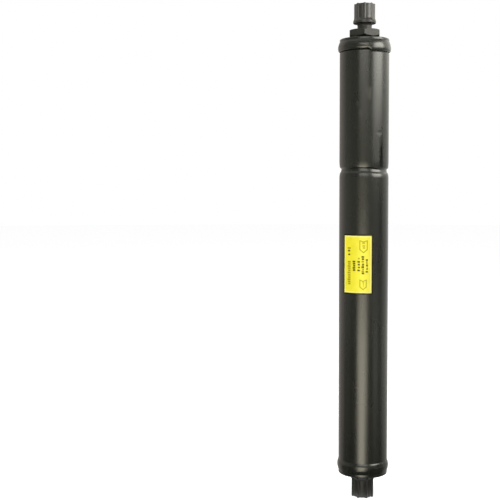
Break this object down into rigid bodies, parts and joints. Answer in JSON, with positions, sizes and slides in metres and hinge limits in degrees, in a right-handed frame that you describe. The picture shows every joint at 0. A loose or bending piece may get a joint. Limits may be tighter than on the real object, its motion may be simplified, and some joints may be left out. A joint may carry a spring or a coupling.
{
  "type": "filter drier",
  "caption": "Slim black steel bottle that filters and dries refrigerant in line, with a rolled groove, welded ends, threaded ports under ribbed dust caps and a yellow flow label",
  "frame": {"origin": "On the bottle's axis, half way along the plain wall between the outlet weld and the groove, where a strap clamps it", "axes": "+Z runs along the bottle from the outlet to the inlet, up as it stands in use; -Y is the front, where a corner of the inlet hexagon points; the label's middle is 15 degrees to the left of the front; +X is to the right, seen from the front"},
  "size_m": [0.0538, 0.0538, 0.505],
  "materials": {
    "shell_paint": "gloss",
    "weld_paint": "gloss",
    "fitting_steel": "satin",
    "cap_plastic": "satin",
    "seal_rubber": "matte",
    "label_film": "satin",
    "strainer_brass": "satin",
    "plate_steel": "satin",
    "felt": "matte",
    "desiccant": "matte",
    "spring_steel": "satin"
  },
  "bodies": {
    "vessel": {"shell_tube": "shell_paint", "inlet_end_cap": "shell_paint", "outlet_end_cap": "shell_paint", "inlet_girth_weld": "weld_paint", "outlet_girth_weld": "weld_paint", "inlet_fitting_weld": "weld_paint", "outlet_fitting_weld": "weld_paint", "inlet_fitting": "fitting_steel", "outlet_fitting": "fitting_steel", "label": "label_film", "outlet_strainer": "strainer_brass", "lower_perforated_plate": "plate_steel", "upper_perforated_plate": "plate_steel", "mesh_screen": "strainer_brass", "lower_felt_pad": "felt", "upper_felt_pad": "felt", "desiccant_bed": "desiccant", "compression_spring": "spring_steel"},
    "inlet_seal": {"inlet_cap_seal": "seal_rubber"},
    "inlet_cap": {"inlet_dust_cap": "cap_plastic"},
    "outlet_seal": {"outlet_cap_seal": "seal_rubber"},
    "outlet_cap": {"outlet_dust_cap": "cap_plastic"}
  },
  "joints": [
    {"name": "inlet_cap_lift", "type": "slide", "parent": "vessel", "child": "inlet_seal", "axis": [0, 0, 1], "range_m": [0, 0.01764]},
    {"name": "inlet_cap_turn", "type": "hinge", "parent": "inlet_seal", "child": "inlet_cap", "pos_m": [0, 0, 0.30755], "axis": [0, 0, 1], "range_deg": [0, 4500]},
    {"name": "outlet_cap_lift", "type": "slide", "parent": "vessel", "child": "outlet_seal", "axis": [0, 0, -1], "range_m": [0, 0.01985]},
    {"name": "outlet_cap_turn", "type": "hinge", "parent": "outlet_seal", "child": "outlet_cap", "pos_m": [0, 0, -0.1695], "axis": [0, 0, -1], "range_deg": [0, 4500]}
  ],
  "couplings": [
    {"joint": "inlet_cap_lift", "follows": "inlet_cap_turn", "m_per_rad": 0.00022457},
    {"joint": "outlet_cap_lift", "follows": "outlet_cap_turn", "m_per_rad": 0.00025266}
  ]
}
